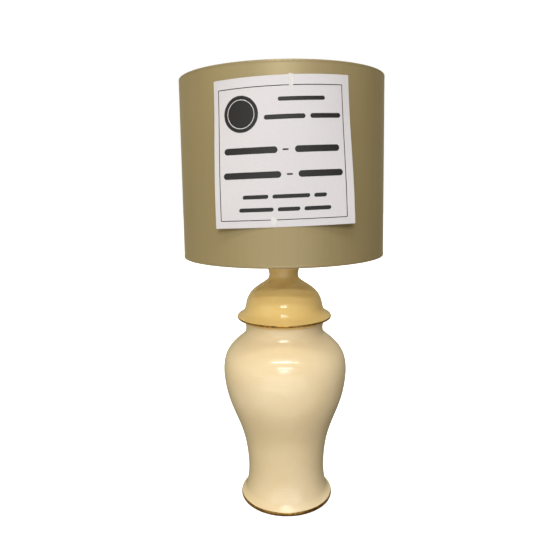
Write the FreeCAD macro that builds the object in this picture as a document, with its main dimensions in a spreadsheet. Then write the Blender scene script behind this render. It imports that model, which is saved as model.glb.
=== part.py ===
import FreeCAD, Part
import math
import os
import Sketcher

# Table lamp: a lidded ceramic jar base, a switched bayonet lampholder and a drum shade.
# Millimetres, +Z up, origin at the centre of the foot on the table, front is -Y.

V = FreeCAD.Vector
doc = FreeCAD.newDocument("TableLamp")

# ---------------------------------------------------------------------------
# driving dimensions
# ---------------------------------------------------------------------------
SIZES = [
    # foot and felt
    ("felt_radius", 80.5, "felt pad radius"),
    ("felt_thick", 1.5, "felt pad thickness"),
    ("recess_depth", 16.5, "hollow under the jar floor"),
    ("recess_mouth", 72.0, "radius of the hollow at the foot"),
    ("recess_top", 68.0, "radius of the hollow under the floor"),
    ("jar_floor", 8.0, "jar floor thickness"),
    ("jar_wall", 6.0, "jar wall thickness"),
    ("jar_top", 331.0, "top edge of the jar neck"),
    ("gland_height", 11.5, "height of the cord gland axis"),
    ("gland_hole", 4.95, "radius of the hole for the gland"),
    ("gland_seat", 7.2, "radius of the spot face round the gland"),
    ("gland_face", 79.0, "distance of the spot face from the lamp axis"),
    ("gland_bore", 3.6, "radius of the cord passage"),
    # rod and its fasteners
    ("rod_radius", 5.0, "lamp rod radius"),
    ("rod_bore", 3.75, "lamp rod bore radius"),
    ("rod_foot", 9.0, "lower end of the rod"),
    ("rod_top", 454.0, "upper end of the rod"),
    ("rod_hole", 5.6, "hole for the rod in the jar floor"),
    ("washer_radius", 20.0, "bottom washer radius"),
    ("washer_thick", 1.5, "bottom washer thickness"),
    ("nut_flats", 17.0, "lock nut width across flats"),
    ("nut_height", 5.0, "lock nut height"),
    ("nut_bore", 5.06, "lock nut bore radius"),
    # vase cap
    ("cap_seat", 440.0, "top edge of the lid neck"),
    ("cap_radius", 30.8, "vase cap radius"),
    ("cap_thick", 1.4, "vase cap thickness"),
    ("cap_spigot", 22.4, "vase cap spigot radius"),
    # lampholder
    ("holder_foot", 447.0, "lower end of the lampholder cap"),
    ("holder_neck", 8.5, "lampholder cap neck radius"),
    ("holder_radius", 18.5, "lampholder barrel radius"),
    ("holder_wall", 0.8, "pressed brass wall"),
    ("cap_skirt_top", 470.0, "upper edge of the lampholder cap"),
    ("flange_top", 485.2, "face that the shade ring sits on"),
    ("flange_radius", 19.8, "shade flange radius"),
    ("thread_radius", 14.0, "shade thread crest radius"),
    ("socket_bore", 11.6, "bayonet socket bore radius"),
    ("socket_top", 513.0, "mouth of the bayonet socket"),
    ("bar_height", 475.0, "height of the push bar axis"),
    ("bar_radius", 2.0, "push bar radius"),
    ("bar_clear", 0.06, "push bar running clearance"),
    ("bar_length", 49.0, "push bar length over the buttons"),
    ("bar_travel", 6.0, "push bar stroke"),
    ("button_radius", 3.2, "push bar button radius"),
    ("button_thick", 2.2, "push bar button thickness"),
    ("pin_height", 499.6, "height of the bayonet pins"),
    ("pin_radius", 1.0, "bayonet pin radius"),
    ("pin_reach", 13.5, "bayonet pin tip radius"),
    ("slot_half", 1.35, "half height of a slot round a pin"),
    ("press", 2.5, "how far a lamp is pressed in"),
    ("twist", 18.0, "how far a lamp is turned to lock"),
    ("contact_offset", 5.2, "contact distance from the axis"),
    ("plunger_radius", 2.5, "contact plunger radius"),
    ("plunger_clear", 0.06, "contact plunger running clearance"),
    ("plunger_foot", 485.2, "lower end of the contact plungers"),
    ("plunger_top", 492.3, "upper end of the contact plungers"),
    # shade
    ("shade_radius", 175.0, "shade outer radius"),
    ("shade_height", 300.0, "shade height"),
    ("shade_foot", 452.0, "height of the shade's lower edge"),
    ("trim_thick", 0.35, "edge roll thickness"),
    ("roll_height", 4.6, "height of the edge roll outside"),
    ("fabric_thick", 0.55, "shade fabric thickness"),
    ("liner_thick", 0.5, "shade liner thickness"),
    ("wire_radius", 1.6, "shade ring wire radius"),
    ("spoke_radius", 1.5, "shade spoke wire radius"),
    ("fitter_hole", 14.6, "hole in the shade's fitter ring"),
    ("fitter_radius", 21.0, "fitter ring outer radius"),
    ("fitter_thick", 1.2, "fitter ring thickness"),
    ("ring_bore", 14.08, "shade ring bore radius"),
    ("ring_radius", 19.6, "shade ring outer radius"),
    ("ring_height", 6.0, "shade ring height"),
    ("ring_notches", 24.0, "finger notches round the shade ring"),
    ("card_height", 217.0, "hanging card height"),
    ("card_foot", 514.0, "lower edge of the hanging card"),
    ("card_span", 70.2, "angle that the card covers"),
    ("card_start", -36.2, "angle of the card's left edge"),
    ("card_thick", 0.25, "card thickness"),
    ("card_radius", 174.99, "outer face of the card"),
    ("tape_thick", 0.08, "adhesive tape thickness"),
    # bulb
    ("cap_shell", 11.0, "bulb cap radius"),
    ("cap_foot", 493.2, "lower end of the bulb cap shell"),
    ("cap_top", 516.0, "upper end of the bulb cap shell"),
    ("bulb_radius", 30.0, "bulb radius"),
    ("bulb_centre", 575.6, "height of the widest part of the bulb"),
    ("bulb_wall", 0.8, "glass thickness"),
]

sheet = doc.addObject("Spreadsheet::Sheet", "Sizes")
sheet.Label = "Sizes"
VALUE = {}
for row, (alias, value, note) in enumerate(SIZES, start=1):
    sheet.set("A%d" % row, note)
    sheet.set("B%d" % row, str(value))
    sheet.setAlias("B%d" % row, alias)
    VALUE[alias] = float(value)
doc.recompute()


class Q:
    """A length known both as a number and as an expression over the sheet."""

    def __init__(self, value, text):
        self.v = float(value)
        self.t = text

    @staticmethod
    def of(x):
        return x if isinstance(x, Q) else Q(x, repr(float(x)))

    def __add__(self, o):
        o = Q.of(o)
        return Q(self.v + o.v, "(%s + %s)" % (self.t, o.t))

    __radd__ = __add__

    def __sub__(self, o):
        o = Q.of(o)
        return Q(self.v - o.v, "(%s - %s)" % (self.t, o.t))

    def __rsub__(self, o):
        return Q.of(o) - self

    def __mul__(self, o):
        o = Q.of(o)
        return Q(self.v * o.v, "(%s * %s)" % (self.t, o.t))

    __rmul__ = __mul__

    def __truediv__(self, o):
        o = Q.of(o)
        return Q(self.v / o.v, "(%s / %s)" % (self.t, o.t))

    def __neg__(self):
        return Q(-self.v, "(0 - %s)" % self.t)


def S(alias):
    return Q(VALUE[alias], "Sizes." + alias)


def num(x):
    return x.v if isinstance(x, Q) else float(x)


def bind(obj, prop, x):
    if isinstance(x, Q):
        obj.setExpression(prop, x.t)
    else:
        setattr(obj, prop, x)


def put(obj, x=0, y=0, z=0, rot=None):
    obj.Placement = FreeCAD.Placement(V(num(x), num(y), num(z)), rot or FreeCAD.Rotation())
    for axis, value in (("x", x), ("y", y), ("z", z)):
        if isinstance(value, Q):
            obj.setExpression("Placement.Base." + axis, value.t)


NODES = []


def node(obj, label):
    obj.Label = label
    NODES.append(obj)
    return obj


# ---------------------------------------------------------------------------
# helpers in the PartDesign way
# ---------------------------------------------------------------------------
def origin_plane(body, role):
    for f in body.Origin.OriginFeatures:
        if f.Role == role:
            return f


def new_body(label):
    body = doc.addObject("PartDesign::Body", "Body_" + label)
    return node(body, label)


def sketch_on(body, name, role):
    sk = body.newObject("Sketcher::SketchObject", name)
    sk.AttachmentSupport = [(origin_plane(body, role), "")]
    sk.MapMode = "FlatFace"
    return sk


def lock_point(sk, geo, pos, x, y, tag):
    if abs(num(x)) < 1e-9:
        sk.addConstraint(Sketcher.Constraint("PointOnObject", geo, pos, -2))
    else:
        i = sk.addConstraint(Sketcher.Constraint("DistanceX", -1, 1, geo, pos, num(x)))
        sk.renameConstraint(i, tag + "_x")
        if isinstance(x, Q):
            sk.setExpression("Constraints." + tag + "_x", x.t)
    if abs(num(y)) < 1e-9:
        sk.addConstraint(Sketcher.Constraint("PointOnObject", geo, pos, -1))
    else:
        i = sk.addConstraint(Sketcher.Constraint("DistanceY", -1, 1, geo, pos, num(y)))
        sk.renameConstraint(i, tag + "_y")
        if isinstance(y, Q):
            sk.setExpression("Constraints." + tag + "_y", y.t)


def polygon(sk, pts, tag="p"):
    n0 = sk.GeometryCount
    n = len(pts)
    for i in range(n):
        a, b = pts[i], pts[(i + 1) % n]
        sk.addGeometry(Part.LineSegment(V(num(a[0]), num(a[1]), 0), V(num(b[0]), num(b[1]), 0)), False)
    for i in range(n):
        sk.addConstraint(Sketcher.Constraint("Coincident", n0 + i, 2, n0 + (i + 1) % n, 1))
    for i, p in enumerate(pts):
        lock_point(sk, n0 + i, 1, p[0], p[1], "%s%d" % (tag, i))


def circle(sk, x, y, r, tag="c"):
    g = sk.addGeometry(Part.Circle(V(num(x), num(y), 0), V(0, 0, 1), num(r)), False)
    if abs(num(x)) < 1e-9 and abs(num(y)) < 1e-9:
        sk.addConstraint(Sketcher.Constraint("Coincident", g, 3, -1, 1))
    else:
        lock_point(sk, g, 3, x, y, tag)
    i = sk.addConstraint(Sketcher.Constraint("Radius", g, num(r)))
    sk.renameConstraint(i, tag + "_r")
    if isinstance(r, Q):
        sk.setExpression("Constraints." + tag + "_r", r.t)


def revolve(body, sk, name):
    rev = body.newObject("PartDesign::Revolution", name)
    rev.Profile = sk
    rev.ReferenceAxis = (sk, ["V_Axis"])
    rev.Angle = 360.0
    sk.Visibility = False
    body.Tip = rev
    return rev


def turned(label, pts):
    """A turned piece: a closed (radius, height) outline revolved about +Z."""
    body = new_body(label)
    sk = sketch_on(body, "Outline_" + label, "XZ_Plane")
    polygon(sk, pts)
    revolve(body, sk, "Turn_" + label)
    return body


def disc(label, z, thick, radius, hole=None):
    body = new_body(label)
    sk = sketch_on(body, "Outline_" + label, "XY_Plane")
    circle(sk, 0, 0, radius, "rim")
    if hole is not None:
        circle(sk, 0, 0, hole, "hole")
    pad = body.newObject("PartDesign::Pad", "Pad_" + label)
    pad.Profile = sk
    bind(pad, "Length", thick)
    body.Tip = pad
    put(body, 0, 0, z)
    return body


def hexnut(label, z, height, flats, bore):
    body = new_body(label)
    sk = sketch_on(body, "Outline_" + label, "XY_Plane")
    pts = []
    for k in range(6):
        a = math.radians(60 * k + 30)
        pts.append((flats * (0.5 / math.cos(math.radians(30)) * math.cos(a)),
                    flats * (0.5 / math.cos(math.radians(30)) * math.sin(a))))
    pts = [((0 if abs(num(p[0])) < 1e-6 else p[0]), (0 if abs(num(p[1])) < 1e-6 else p[1])) for p in pts]
    polygon(sk, pts, "hex")
    circle(sk, 0, 0, bore, "bore")
    pad = body.newObject("PartDesign::Pad", "Pad_" + label)
    pad.Profile = sk
    bind(pad, "Length", height)
    body.Tip = pad
    put(body, 0, 0, z)
    return body


def cylinder(name, radius, height, x=0, y=0, z=0, rot=None, angle=None):
    c = doc.addObject("Part::Cylinder", name)
    bind(c, "Radius", radius)
    bind(c, "Height", height)
    if angle is not None:
        bind(c, "Angle", angle)
    put(c, x, y, z, rot)
    return c


def box(name, lx, ly, lz, x, y, z, rot=None):
    b = doc.addObject("Part::Box", name)
    bind(b, "Length", lx)
    bind(b, "Width", ly)
    bind(b, "Height", lz)
    put(b, x, y, z, rot)
    return b


def cut(label, base, tools, keep=True):
    tool = tools[0]
    if len(tools) > 1:
        tool = doc.addObject("Part::MultiFuse", "Tools_" + label)
        tool.Shapes = tools
    c = doc.addObject("Part::Cut", "Cut_" + label)
    c.Base = base
    c.Tool = tool
    return node(c, label) if keep else c


def group(label, objs):
    g = doc.addObject("Part::Compound", "Set_" + label)
    g.Links = objs
    return node(g, label)


def own_shape(label, shape):
    f = doc.addObject("Part::Feature", "Shape_" + label)
    f.Shape = shape
    return node(f, label)


def spline(pts):
    c = Part.BSplineCurve()
    c.interpolate([V(p[0], p[1], 0) for p in pts])
    return c


def inset(pts, t):
    """Offset an open (radius, height) outline by t towards the axis side."""
    out = []
    for i, p in enumerate(pts):
        a = pts[max(i - 1, 0)]
        b = pts[min(i + 1, len(pts) - 1)]
        dx, dy = b[0] - a[0], b[1] - a[1]
        n = math.hypot(dx, dy)
        out.append((p[0] - t * dy / n, p[1] + t * dx / n))
    return out


def outline_sketch(body, name, curves):
    """Sketch of a closed outline made of splines ('s', points) joined by straight lines."""
    sk = sketch_on(body, name, "XZ_Plane")
    ends = []
    for pts in curves:
        if len(pts) == 2:
            g = sk.addGeometry(Part.LineSegment(V(pts[0][0], pts[0][1], 0), V(pts[1][0], pts[1][1], 0)), False)
        else:
            g = sk.addGeometry(spline(pts), False)
        ends.append((g, pts))
    return sk


def rounded_wire(pts, radius):
    """Straight runs joined by tangent arcs; radius is a number or one per corner."""
    pts = [V(*p) for p in pts]
    radii = radius if isinstance(radius, (list, tuple)) else [radius] * (len(pts) - 2)
    edges = []
    start = pts[0]
    for i in range(1, len(pts) - 1):
        a, b, c = pts[i - 1], pts[i], pts[i + 1]
        u = (a - b).normalize()
        w = (c - b).normalize()
        half = math.acos(max(-1.0, min(1.0, u.dot(w)))) / 2.0
        r = radii[i - 1]
        t = r / math.tan(half)
        p1 = b + u * t
        p2 = b + w * t
        bis = (u + w).normalize()
        mid = b + bis * (r / math.sin(half) - r)
        edges.append(Part.makeLine(start, p1))
        edges.append(Part.Arc(p1, mid, p2).toShape())
        start = p2
    edges.append(Part.makeLine(start, pts[-1]))
    return Part.Wire(edges)


def wire_solid(wire, radius):
    e = wire.Edges[0]
    p = e.valueAt(e.FirstParameter)
    d = e.tangentAt(e.FirstParameter)
    prof = Part.Wire([Part.Edge(Part.Circle(p, d, radius))])
    return wire.makePipeShell([prof], True, True)


# ---------------------------------------------------------------------------
# jar base
# ---------------------------------------------------------------------------
disc("felt_pad", 0, S("felt_thick"), S("felt_radius"))

foot_edge = [(81.6, 1.5), (82.9, 1.95), (83.6, 3.1), (83.75, 5.0), (83.45, 7.0), (82.3, 8.9)]
side = [(82.3, 8.9), (79.9, 10.9), (77.3, 13.6), (74.95, 17.6), (73.0, 24.0), (71.0, 33.5), (69.6, 46.0),
        (69.25, 60.0), (70.0, 75.0), (71.5, 90.0), (73.8, 105.0), (77.05, 120.0), (81.45, 135.0),
        (86.9, 150.0), (92.9, 165.0), (98.7, 180.0), (103.6, 195.0), (107.2, 210.0), (109.6, 225.0),
        (110.8, 239.0), (110.6, 251.0), (109.1, 261.0), (106.0, 271.0), (101.0, 280.0), (94.6, 288.0),
        (86.4, 295.8), (79.0, 301.8), (73.4, 306.9)]
neck = [(73.4, 306.9), (71.0, 310.1), (69.7, 314.0), (69.35, 318.5), (69.8, 323.5), (70.9, 328.0), (71.6, 331.0)]
neck[-1] = (71.6, VALUE["jar_top"])

floor_under = VALUE["felt_thick"] + VALUE["recess_depth"]
floor_top = floor_under + VALUE["jar_floor"]
inner = inset(side[4:], VALUE["jar_wall"])
inner_neck = [(67.0, 310.4), (64.6, 314.4), (63.6, 319.5), (63.7, 325.0), (64.2, VALUE["jar_top"])]
inner = [p for p in inner if p[1] > floor_top + 9.0 and p[1] < 306.0]
inner_all = [(60.0, floor_top), (63.4, floor_top + 1.6), (64.9, floor_top + 6.0)] + inner + inner_neck
inner_all.reverse()

jar = new_body("jar_body")
sk = outline_sketch(jar, "Outline_jar", [
    foot_edge, side, neck,
    [neck[-1], inner_all[0]],
    inner_all,
    [inner_all[-1], (VALUE["rod_hole"], floor_top)],
    [(VALUE["rod_hole"], floor_top), (VALUE["rod_hole"], floor_under)],
    [(VALUE["rod_hole"], floor_under), (VALUE["recess_top"], floor_under)],
    [(VALUE["recess_top"], floor_under), (VALUE["recess_mouth"], VALUE["felt_thick"])],
    [(VALUE["recess_mouth"], VALUE["felt_thick"]), foot_edge[0]],
])
revolve(jar, sk, "Turn_jar")


def hole_in_back(body, name, radius, height, first, last):
    """Round pocket along +Y through the back wall, from y=first to y=last."""
    s = sketch_on(body, "Sketch_" + name, "XZ_Plane")
    s.AttachmentOffset = FreeCAD.Placement(V(0, 0, -num(last)), FreeCAD.Rotation())
    s.setExpression("AttachmentOffset.Base.z", (-Q.of(last)).t)
    circle(s, 0, height, radius, "hole")
    p = body.newObject("PartDesign::Pocket", name)
    p.Profile = s
    bind(p, "Length", Q.of(last) - first)
    p.Reversed = True
    body.Tip = p
    return p


doc.recompute()
v_before = jar.Shape.Volume
hole_in_back(jar, "Gland_hole", S("gland_hole"), S("gland_height"), 60.0, Q.of(90.0))
doc.recompute()
v_mid = jar.Shape.Volume
if v_mid >= v_before - 1:
    jar.Tip.Reversed = False
    doc.recompute()
    v_mid = jar.Shape.Volume
hole_in_back(jar, "Gland_seat", S("gland_seat"), S("gland_height"), S("gland_face"), Q.of(90.0))
jar.Tip.Reversed = doc.getObject("Gland_hole").Reversed
doc.recompute()
v_end = jar.Shape.Volume
print("jar volume", round(v_before), round(v_mid), round(v_end))
assert v_mid < v_before - 100 and v_end < v_mid - 20

# cord gland: turned about Z, then laid along +Y in the back of the foot
g_len = S("gland_face") - 67.0
gland = turned("cord_grommet", [
    (S("gland_bore"), 0), (S("gland_hole") - 0.05, 0), (S("gland_hole") - 0.05, g_len),
    (S("gland_seat") - 0.3, g_len), (S("gland_seat") - 0.3, g_len + 1.6), (S("gland_seat") - 1.3, g_len + 2.4),
    (S("gland_bore"), g_len + 2.4)])
put(gland, 0, S("gland_face") - g_len, S("gland_height"), FreeCAD.Rotation(V(1, 0, 0), -90))

# ---------------------------------------------------------------------------
# lid
# ---------------------------------------------------------------------------
lid_out = [(71.4, 331.0), (73.2, 333.2), (76.4, 335.2), (80.2, 336.4), (83.0, 337.3), (84.4, 338.5), (84.75, 339.9),
           (83.9, 341.9), (80.6, 344.2), (76.6, 346.9), (72.9, 350.2), (70.7, 354.2), (69.1, 360.0), (67.7, 367.0), (65.2, 374.2),
           (61.2, 381.3), (55.6, 387.6), (48.0, 393.7), (38.6, 399.9), (31.0, 405.2), (27.2, 409.6),
           (26.0, 414.2), (26.5, 419.5), (27.9, 425.5), (29.5, 432.5), (30.8, 440.0)]
lid_out[0] = (71.4, VALUE["jar_top"])
lid_out[-1] = (30.8, VALUE["cap_seat"])
lid_in = [(24.6, VALUE["cap_seat"]), (23.2, 432.0), (21.4, 424.0), (20.0, 416.0), (20.6, 409.5), (24.2, 403.6),
          (31.6, 397.8), (41.0, 391.4), (49.8, 384.6), (56.0, 377.2), (60.2, 367.5), (61.8, 357.0),
          (60.6, 346.0), (57.6, 338.0)]
lid = new_body("lid")
sk = outline_sketch(lid, "Outline_lid", [
    lid_out,
    [lid_out[-1], lid_in[0]],
    lid_in,
    [lid_in[-1], (57.4, 323.0)],
    [(57.4, 323.0), (62.6, 323.0)],
    [(62.6, 323.0), (62.9, VALUE["jar_top"])],
    [(62.9, VALUE["jar_top"]), lid_out[0]],
])
revolve(lid, sk, "Turn_lid")

# ---------------------------------------------------------------------------
# rod and fasteners that clamp the lid to the jar
# ---------------------------------------------------------------------------
turned("threaded_rod", [
    (S("rod_bore"), S("rod_foot")), (S("rod_radius") - 0.5, S("rod_foot")), (S("rod_radius"), S("rod_foot") + 0.7),
    (S("rod_radius"), S("rod_top") - 0.7), (S("rod_radius") - 0.5, S("rod_top")), (S("rod_bore"), S("rod_top"))])
floor_z = S("felt_thick") + S("recess_depth")
disc("bottom_washer", floor_z - S("washer_thick"), S("washer_thick"), S("washer_radius"), S("rod_radius") + 0.2)
hexnut("bottom_nut", floor_z - S("washer_thick") - S("nut_height"), S("nut_height"), S("nut_flats"), S("nut_bore"))
turned("neck_cap", [
    (S("rod_radius") + 0.1, S("cap_seat")), (S("cap_spigot") - 1.2, S("cap_seat")),
    (S("cap_spigot") - 1.2, S("cap_seat") - 6), (S("cap_spigot"), S("cap_seat") - 6),
    (S("cap_spigot"), S("cap_seat")), (S("cap_radius"), S("cap_seat")),
    (S("cap_radius"), S("cap_seat") + S("cap_thick") - 0.6),
    (S("cap_radius") - 0.8, S("cap_seat") + S("cap_thick")),
    (S("rod_radius") + 0.1, S("cap_seat") + S("cap_thick"))])
hexnut("top_locknut", S("cap_seat") + S("cap_thick"), S("nut_height"), S("nut_flats"), S("nut_bore"))

# ---------------------------------------------------------------------------
# lampholder
# ---------------------------------------------------------------------------
hz = S("holder_foot")
skirt_in = S("holder_radius") + 0.06
skirt_out = skirt_in + S("holder_wall")
cap_raw = turned("holder_cap_raw", [
    (S("nut_bore"), hz), (S("holder_neck") - 0.6, hz), (S("holder_neck"), hz + 0.6), (S("holder_neck"), hz + 6.2),
    (12.4, hz + 9.6), (16.4, hz + 12.2), (skirt_out - 0.5, hz + 14.6), (skirt_out, hz + 17), (skirt_out, S("cap_skirt_top")),
    (skirt_in, S("cap_skirt_top")), (skirt_in, hz + 17), (skirt_in - 0.9, hz + 15.2), (15.7, hz + 13.0),
    (12.0, hz + 10.7), (8.2, hz + 8.4), (S("nut_bore"), hz + 8.4)])
NODES.remove(cap_raw)
screw_hole = cylinder("Screw_hole", 1.56, 8.0, 0, -3.0, hz + 3.2, FreeCAD.Rotation(V(1, 0, 0), 90))
cut("holder_cap", cap_raw, [screw_hole])
screw_body = cylinder("Screw_body", 1.5, 5.2, 0, -5.05, hz + 3.2, FreeCAD.Rotation(V(1, 0, 0), 90))
screw_slot = box("Screw_slot", 3.4, 1.0, 0.6, -1.7, -10.6, hz + 2.9)
cut("cap_set_screw", screw_body, [screw_slot])

R_in = S("holder_radius") - S("holder_wall")
thread = []
z = S("flange_top") + 1.2
while num(z) < 496.0:
    thread += [(S("thread_radius") - 0.5, z), (S("thread_radius"), z + 0.45), (S("thread_radius"), z + 0.95),
               (S("thread_radius") - 0.5, z + 1.4)]
    z = z + 1.8
barrel_raw = turned("holder_barrel_raw", [
    (R_in, 464.2), (S("holder_radius"), 464.2), (S("holder_radius"), S("flange_top") - 1.8),
    (S("flange_radius"), S("flange_top") - 1.2), (S("flange_radius"), S("flange_top")),
    (S("thread_radius") - 0.5, S("flange_top"))] + thread + [
    (S("thread_radius") - 0.5, 497.6), (S("thread_radius") - 0.2, 498.0), (S("thread_radius") - 0.2, S("socket_top") - 0.8),
    (S("thread_radius") - 0.8, S("socket_top")), (S("socket_bore") + 0.4, S("socket_top")),
    (S("socket_bore"), S("socket_top") - 0.6), (S("socket_bore"), 486.2), (R_in, 482.8)])
NODES.remove(barrel_raw)
half_deg = 6.2
slot_lo = S("pin_height") - S("press") - S("slot_half")
cutters = []
for k, base in enumerate((90.0, 270.0)):
    cutters.append(cylinder("Slot_leg_%d" % k, 15.5, S("socket_top") + 1 - slot_lo, 0, 0, slot_lo,
                            FreeCAD.Rotation(V(0, 0, 1), base - VALUE["twist"] - half_deg), 2 * half_deg))
    cutters.append(cylinder("Slot_run_%d" % k, 15.5, S("press") + 2 * S("slot_half"), 0, 0, slot_lo,
                            FreeCAD.Rotation(V(0, 0, 1), base - VALUE["twist"] - half_deg), S("twist") + 2 * half_deg))
cutters.append(cylinder("Bar_hole", S("bar_radius") + S("bar_clear"), 60.0, -30.0, 0, S("bar_height"),
                        FreeCAD.Rotation(V(0, 1, 0), 90)))
cut("holder_barrel", barrel_raw, cutters)

block_raw = turned("switch_block_raw", [
    (0, 463.6), (S("holder_radius") - S("holder_wall") - 1.6, 463.6), (R_in - 0.15, 465.0), (R_in - 0.15, 479.0), (0, 479.0)])
NODES.remove(block_raw)
bar_way = box("Bar_way", 40.0, 4.8, 4.8, -20.0, -2.4, S("bar_height") - 2.4)
wire_ways = [cylinder("Wire_way_%d" % i, 1.6, 16.0, 0, y, 463.3) for i, y in enumerate((-9.0, 9.0))]
cut("switch_block", block_raw, [bar_way] + wire_ways)

carrier_raw = turned("contact_carrier_raw", [
    (0, 479.1), (R_in - 0.2, 479.1), (R_in - 0.2, 482.2), (S("socket_bore") - 0.3, 485.5),
    (S("socket_bore") - 0.3, 488.8), (S("socket_bore") - 0.8, 489.3), (0, 489.3)])
NODES.remove(carrier_raw)
ways = [cylinder("Plunger_way_%d" % i, S("plunger_radius") + S("plunger_clear"), 14.0, x, 0, 480.2)
        for i, x in enumerate((-S("contact_offset"), S("contact_offset")))]
cut("contact_carrier", carrier_raw, ways)

plungers = []
for i, x in enumerate((-S("contact_offset"), S("contact_offset"))):
    plungers.append(cylinder("Plunger_%d" % i, S("plunger_radius"), S("plunger_top") - S("plunger_foot"), x, 0, S("plunger_foot")))
group("contact_plungers", plungers)

# springs under the plungers: each is a closed sleeve with the coils' outline
springs = []
coil_lo = Q.of(480.5)
coil_pitch = (S("plunger_foot") - 0.3 - coil_lo) / 4
for i, x in enumerate((-S("contact_offset"), S("contact_offset"))):
    outline = [(1.45, coil_lo)]
    for k in range(4):
        zk = coil_lo + coil_pitch * k
        outline += [(1.85, zk), (2.15, zk + coil_pitch * 0.3), (2.15, zk + coil_pitch * 0.6), (1.85, zk + coil_pitch * 0.9)]
    outline += [(1.85, coil_lo + coil_pitch * 4), (1.45, coil_lo + coil_pitch * 4)]
    coil = turned("coil_%d" % i, outline)
    NODES.remove(coil)
    put(coil, x, 0, 0)
    springs.append(coil)
group("contact_springs", springs)

bar_half = S("bar_length") / 2
rod_bar = cylinder("Bar_rod", S("bar_radius"), S("bar_length") - 2 * S("button_thick"),
                   -bar_half - S("bar_travel") / 2 + S("button_thick"), 0, S("bar_height"), FreeCAD.Rotation(V(0, 1, 0), 90))
button_a = cylinder("Button_a", S("button_radius"), S("button_thick"),
                    -bar_half - S("bar_travel") / 2, 0, S("bar_height"), FreeCAD.Rotation(V(0, 1, 0), 90))
button_b = cylinder("Button_b", S("button_radius"), S("button_thick"),
                    bar_half - S("bar_travel") / 2 - S("button_thick"), 0, S("bar_height"), FreeCAD.Rotation(V(0, 1, 0), 90))
bar = doc.addObject("Part::MultiFuse", "Fuse_switch_bar")
bar.Shapes = [rod_bar, button_a, button_b]
bar.Refine = True
node(bar, "switch_bar")

blocks, screws = [], []
for i, x in enumerate((-8.2, 8.2)):
    blocks.append(box("Terminal_%d" % i, 4.6, 4.4, 4.4, x - 2.3, -2.2, 459.1))
    screws.append(cylinder("Terminal_screw_%d" % i, 1.5, 1.7, x, 0, 457.4))
group("terminals", blocks)
group("terminal_screws", screws)

leads = []
for x in (-1.5, 1.5):
    sx = 1 if x > 0 else -1
    wire = rounded_wire([(x, 58.0, 6.2), (x, 0, 6.2), (x, 0, 460.9), (sx * 5.85, 0, 460.9)], [4.0, 2.2])
    solid = wire_solid(wire, 1.1)
    print("lead length", round(wire.Length, 1), "volume ratio", round(solid.Volume / (wire.Length * math.pi * 1.21), 3))
    leads.append(solid)
own_shape("inner_leads", Part.makeCompound(leads))

# ---------------------------------------------------------------------------
# shade
# ---------------------------------------------------------------------------
rf = S("flange_top") + 0.1
disc("fitter_ring", rf, S("fitter_thick"), S("fitter_radius"), S("fitter_hole"))

ring = new_body("shade_ring")
sk = sketch_on(ring, "Outline_shade_ring", "XY_Plane")
circle(sk, 0, 0, S("ring_radius"), "rim")
circle(sk, 0, 0, S("ring_bore"), "bore")
pad = ring.newObject("PartDesign::Pad", "Pad_shade_ring")
pad.Profile = sk
bind(pad, "Length", S("ring_height"))
ring.Tip = pad
doc.recompute()
nsk = sketch_on(ring, "Notch_sketch", "XY_Plane")
circle(nsk, S("ring_radius") + 0.5, 0, 1.15, "notch")
pocket = ring.newObject("PartDesign::Pocket", "Notch")
pocket.Profile = nsk
bind(pocket, "Length", S("ring_height"))
pocket.Reversed = True
ring.Tip = pocket
doc.recompute()
v0 = math.pi * (VALUE["ring_radius"] ** 2 - VALUE["ring_bore"] ** 2) * VALUE["ring_height"]
if ring.Shape.Volume > v0 - 0.5:
    pocket.Reversed = False
    doc.recompute()
assert ring.Shape.Volume < v0 - 0.5
pat = ring.newObject("PartDesign::PolarPattern", "Notches")
pat.Originals = [pocket]
pat.Axis = (nsk, ["N_Axis"])
pat.Angle = 360.0
pat.Occurrences = int(VALUE["ring_notches"])
pat.setExpression("Occurrences", "Sizes.ring_notches")
ring.Tip = pat
put(ring, 0, 0, rf + S("fitter_thick") + 0.1)

R = VALUE["shade_radius"]
zs = VALUE["shade_foot"]
zt = zs + VALUE["shade_height"]
wire_mid = S("shade_radius") - S("trim_thick") - S("fabric_thick") - S("liner_thick") - S("wire_radius") - 0.15
liner_out = S("shade_radius") - S("trim_thick") - S("fabric_thick") - 0.04
fabric_out = S("shade_radius") - S("trim_thick") - 0.03
foot = S("shade_foot")
head = foot + S("shade_height")
body_lo = foot + 0.6
body_hi = head - 0.6


def torus(label, z):
    body = new_body(label)
    sk = sketch_on(body, "Outline_" + label, "XZ_Plane")
    circle(sk, wire_mid, z, S("wire_radius"), "wire")
    revolve(body, sk, "Turn_" + label)


torus("bottom_wire_ring", foot + 2.3)
torus("top_wire_ring", head - 2.3)
turned("shade_liner", [(liner_out - S("liner_thick"), body_lo), (liner_out, body_lo),
                       (liner_out, body_hi), (liner_out - S("liner_thick"), body_hi)])
turned("shade_fabric", [(fabric_out - S("fabric_thick"), body_lo), (fabric_out, body_lo),
                        (fabric_out, body_hi), (fabric_out - S("fabric_thick"), body_hi)])
roll_in = wire_mid - S("wire_radius") - 0.05
so = S("shade_radius")
tk = S("trim_thick")
rh = S("roll_height")
turned("bottom_edge_roll", [
    (so - tk, foot + rh), (so, foot + rh), (so, foot + 0.5), (so - 0.4, foot), (roll_in, foot), (roll_in - tk, foot + 0.4),
    (roll_in - tk, foot + rh), (roll_in, foot + rh), (roll_in, foot + 0.5), (so - tk, foot + 0.5)])
turned("top_edge_roll", [
    (so - tk, head - rh), (so - tk, head - 0.5), (roll_in, head - 0.5), (roll_in, head - rh), (roll_in - tk, head - rh),
    (roll_in - tk, head - 0.4), (roll_in, head), (so - 0.4, head), (so, head - 0.5), (so, head - rh)])

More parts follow.
